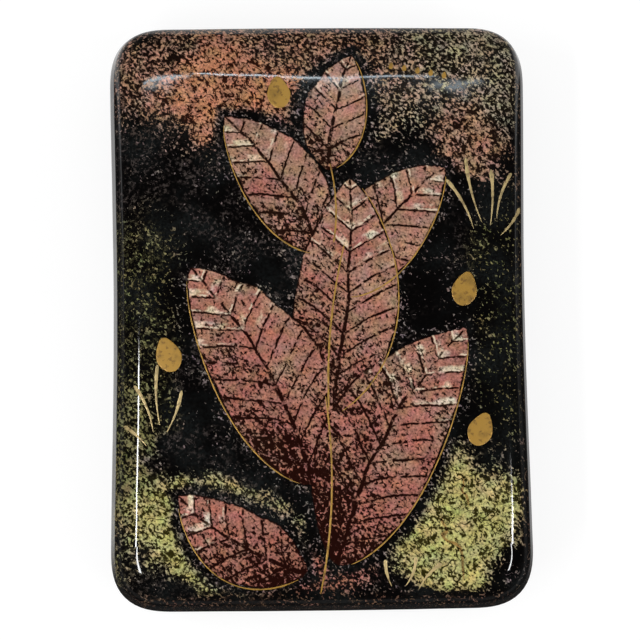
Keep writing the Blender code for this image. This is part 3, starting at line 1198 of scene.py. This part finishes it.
class BOX_OT_gold_strokes(bpy.types.Operator):
    """Brushes the stems, the leaf edges and the short strokes in gold"""

    bl_idname = "cigarette_box.gold_strokes"
    bl_label = "Gold Strokes"

    def execute(self, context):
        box = settings(context)
        gold, colours = box.gold, box.colours
        lines = [tapered(stroke_path(stem, 48), gold.line, gold.line * 1.4) for stem in GOLD_STEMS]
        for k, leaf in enumerate(LEAVES):
            side = 1 if k % 2 else -1
            lines.append(tapered(leaf_edge(leaf, side), gold.line * 0.7, gold.line))
        strokes = [tapered(stroke_path(path, 24), gold.stroke, gold.line * 0.5) for path in GOLD_STROKES]
        for name, paths, tint in (
            ("gold_lines", lines, colours.gold), ("gold_strokes", strokes, colours.pale_gold),
        ):
            material = fired_gold(name, tint, colours.thin_brown)
            piece = grown(name, stroke_mesh(name, paths), brushed_strokes(), {
                "Surface": bpy.data.objects["lid_casting"], "Body": gold.body, "Gold": material,
            })
            ride_on(piece, "lid")
        return {"FINISHED"}


def pad_mesh(name, pads):
    """A mesh of points that carry the size and the turn of each pad."""
    points = [(x * MM, y * MM, 0.0) for x, y, *_ in pads]
    _, _, half_widths, half_lengths, turns = zip(*pads)
    return marked_mesh(
        name, points, [], half_width=[half * MM for half in half_widths],
        half_length=[half * MM for half in half_lengths], turn=[math.radians(turn) for turn in turns],
    )


class BOX_OT_gold_pods(bpy.types.Operator):
    """Lays the gold seed pods and the row of gold beads"""

    bl_idname = "cigarette_box.gold_pods"
    bl_label = "Gold Pods and Beads"

    def execute(self, context):
        box = settings(context)
        first_x, first_y, last_x, last_y, count = BEAD_ROW
        beads = []
        for k in range(count):
            share = k / (count - 1)
            x, y = first_x + (last_x - first_x) * share, first_y + (last_y - first_y) * share
            beads.append((x, y, *BEAD))
        inputs = {
            "Surface": bpy.data.objects["lid_casting"], "Body": box.gold.body * 2,
            "Gold": fired_gold("pod_gold", box.colours.gold, box.colours.thin_brown),
        }
        for name, pads in (("gold_pods", GOLD_PODS), ("gold_beads", beads)):
            piece = grown(name, pad_mesh(name, pads), enamel_pads(), inputs)
            ride_on(piece, "lid")
        return {"FINISHED"}


# The studio: lamps, paper floor, room and camera

# Lamps that the glaze mirrors: name, place, turn in degrees, size, radiance and tint
WHITE, BLUISH = (1, 1, 1), (0.8, 0.92, 1)
LAMP_HEIGHT = 0.75
STRIPS = (
    ("left_strip", (-0.4, -0.005), 0, (0.05, 0.14), 40, WHITE),
    ("left_strip_end", (-0.328, -0.27), 0, (0.045, 0.38), 28, WHITE),
    ("right_strip", (0.605, -0.048), 16.8, (0.195, 0.022), 45, WHITE),
    ("right_strip_end", (0.465, -0.31), 0, (0.04, 0.46), 27, WHITE),
    ("top_strip", (-0.022, 0.305), -25.5, (0.12, 0.009), 24, BLUISH),
    ("top_strip_left", (-0.1, 0.28), 63, (0.07, 0.012), 13, BLUISH),
    ("top_strip_right", (0.068, 0.284), 0, (0.075, 0.008), 20, BLUISH),
    ("top_glow", (0.126, 0.252), -20, (0.045, 0.006), 9, BLUISH),
)

# Where the camera looks, across and along the box
AIM = (0.00034, -0.00031)


def soft_lamp(name, place, turn, size, radiance, tint, mirrored):
    """A rectangular lamp that faces straight down, and shows in the glaze or not."""
    light = bpy.data.lights.new(name, "AREA")
    light.shape = "RECTANGLE"
    light.size, light.size_y = size
    light.energy = radiance * math.pi * light.size * light.size_y
    light.color = tint
    lamp = in_scene(name, light)
    lamp.location = place
    lamp.rotation_euler = (0, 0, math.radians(turn))
    lamp.visible_camera = False
    lamp.visible_glossy = mirrored


def rays(tree):
    """1 for what the camera sees straight, and 1 for what it sees through gloss or glass."""
    path = tree.add("ShaderNodeLightPath")
    mirrored = tree.maximum(tree.out(path, "Is Glossy Ray"), tree.out(path, "Is Transmission Ray"))
    return tree.out(path, "Is Camera Ray"), mirrored


def paper_floor(plan):
    """A sheet of white paper, and a painted pool of light that only the glaze mirrors: a painted
    reflection at the sides and back, and dark in front as painted shade.
    """
    material, tree, shader = new_material("white_paper")
    straight, mirrored = rays(tree)
    side, end = half_plan(plan)
    x, y, _ = tree.split(place_in_mm(tree))
    beside, behind = abs(x) - side, y - end
    away = tree.maximum(beside, abs(y) - end)
    # The pool that the glaze mirrors is painted light, an emission and not a lamp: a painted reflection
    # of lit paper beside and behind the box, dim far off, and almost none in front, which stands in for
    # shade there.
    at_left, at_right, at_back, far_off, least = 0.68, 0.36, 0.75, 0.13, 0.02
    strip = tree.smooth(beside, 24.0, 6.0) * tree.smooth(y, 3.0 - end, 27.0 - end)
    strip = strip * tree.blend(tree.smooth(x, -20.0, 20.0), at_left, at_right)
    back = tree.smooth(behind, -10.0, 4.0) * tree.smooth(behind, 100.0, 35.0) * at_back
    pool = tree.maximum(strip, back) + tree.smooth(away, 60.0, 160.0) * far_off + least
    white, dimmed, glow = 0.8, 0.53, 0.79
    paper = tree.blend(mirrored, white - straight * dimmed, 0.0)
    tree.feed(shader.inputs["Base Color"], tree.shade((1.0, 1.0, 1.0), paper))
    # Emission: even white to the camera, and the painted pool of light to the glaze.
    tree.feed(shader.inputs["Emission Strength"], straight * glow + mirrored * pool)
    shader.inputs["Emission Color"].default_value = (1, 1, 1, 1)
    shader.inputs["Roughness"].default_value = 0.9
    reach = 8.0
    corners = [(-reach, -reach, 0), (reach, -reach, 0), (reach, reach, 0), (-reach, reach, 0)]
    mesh = bpy.data.meshes.new("paper_floor")
    mesh.from_pydata(corners, [], [(0, 1, 2, 3)])
    mesh.materials.append(material)
    return in_scene("paper_floor", mesh)


def studio_world(studio):
    """A white backdrop to the camera, and a dim room to the glaze."""
    world = bpy.data.worlds.new("studio")
    bpy.context.scene.world = world
    world.use_nodes = True
    tree = Tree(world.node_tree)
    straight, mirrored = rays(tree)
    _, _, up = tree.split(tree.out(tree.add("ShaderNodeTexCoord"), "Generated"))
    room = tree.blend(tree.smooth(up, 0.0, 0.3), studio.room * 2.0, studio.room)
    background = world.node_tree.nodes["Background"]
    level = tree.blend(straight, tree.blend(mirrored, studio.fill, room), 1.0)
    tree.feed(background.inputs["Strength"], level)
    background.inputs["Color"].default_value = (1, 1, 1, 1)


def stand_camera(studio):
    """Stands the camera over the box, a little left of its middle and in front of it."""
    place = Vector((-studio.left, -studio.front, studio.height))
    aim = Vector((*AIM, LID_HIGH.z / 2))
    data = bpy.data.cameras.new("camera")
    data.sensor_width = 36
    data.lens = studio.lens
    camera = in_scene("camera", data)
    camera.location = place
    camera.rotation_mode = "QUATERNION"
    back = (place - aim).normalized()
    right = Vector((0, 1, 0)).cross(back).normalized()
    up = back.cross(right)
    level = Matrix((right, up, back)).transposed().to_quaternion()
    roll = Matrix.Rotation(math.radians(studio.roll), 3, "Z").to_quaternion()
    camera.rotation_quaternion = level @ roll
    bpy.context.scene.camera = camera


class BOX_OT_studio(bpy.types.Operator):
    """Lays the paper floor, hangs the lamps and stands the camera"""

    bl_idname = "cigarette_box.studio"
    bl_label = "Studio"

    def execute(self, context):
        box = settings(context)
        studio = box.studio
        paper_floor(box.plan)
        studio_world(studio)
        for name, place, turn, size, radiance, tint in STRIPS:
            soft_lamp(name, (*place, LAMP_HEIGHT), turn, size, radiance, tint, True)
        soft_lamp("soft_overhead", (0, 0, LAMP_HEIGHT * 2), 0, (1.4, 1.4), 0.68, WHITE, False)
        stand_camera(studio)
        context.scene.view_settings.view_transform = "Standard"
        return {"FINISHED"}


class BoxSettings(bpy.types.PropertyGroup):
    """All that a user may change."""

    plan: bpy.props.PointerProperty(type=PlanShape)
    base: bpy.props.PointerProperty(type=BaseShape)
    lid: bpy.props.PointerProperty(type=LidShape)
    colours: bpy.props.PointerProperty(type=GlazeColours)
    gold: bpy.props.PointerProperty(type=GoldWork)
    studio: bpy.props.PointerProperty(type=StudioSettings)


OPERATORS = (BOX_OT_base, BOX_OT_lid, BOX_OT_gold_strokes, BOX_OT_gold_pods, BOX_OT_studio)


class BOX_PT_panel(bpy.types.Panel):
    """Lists the box's makers and its settings"""

    bl_idname = "BOX_PT_panel"
    bl_label = "Glazed Cigarette Box"
    bl_space_type = "VIEW_3D"
    bl_region_type = "UI"
    bl_category = "Box"

    def draw(self, context):
        for operator in OPERATORS:
            self.layout.operator(operator.bl_idname)
        box = settings(context)
        for group in (box.plan, box.base, box.lid, box.colours, box.gold, box.studio):
            column = self.layout.column(align=True)
            for name in group.__annotations__:
                column.prop(group, name)


CLASSES = (
    PlanShape, BaseShape, LidShape, GlazeColours, GoldWork, StudioSettings, BoxSettings,
    *OPERATORS, BOX_PT_panel,
)


def register():
    for item in CLASSES:
        bpy.utils.register_class(item)
    bpy.types.Scene.cigarette_box = bpy.props.PointerProperty(type=BoxSettings)


def unregister():
    del bpy.types.Scene.cigarette_box
    for item in reversed(CLASSES):
        bpy.utils.unregister_class(item)


def main():
    register()
    bpy.ops.cigarette_box.base()
    bpy.ops.cigarette_box.lid()
    bpy.ops.cigarette_box.gold_strokes()
    bpy.ops.cigarette_box.gold_pods()
    bpy.ops.cigarette_box.studio()


if __name__ == "__main__":
    main()
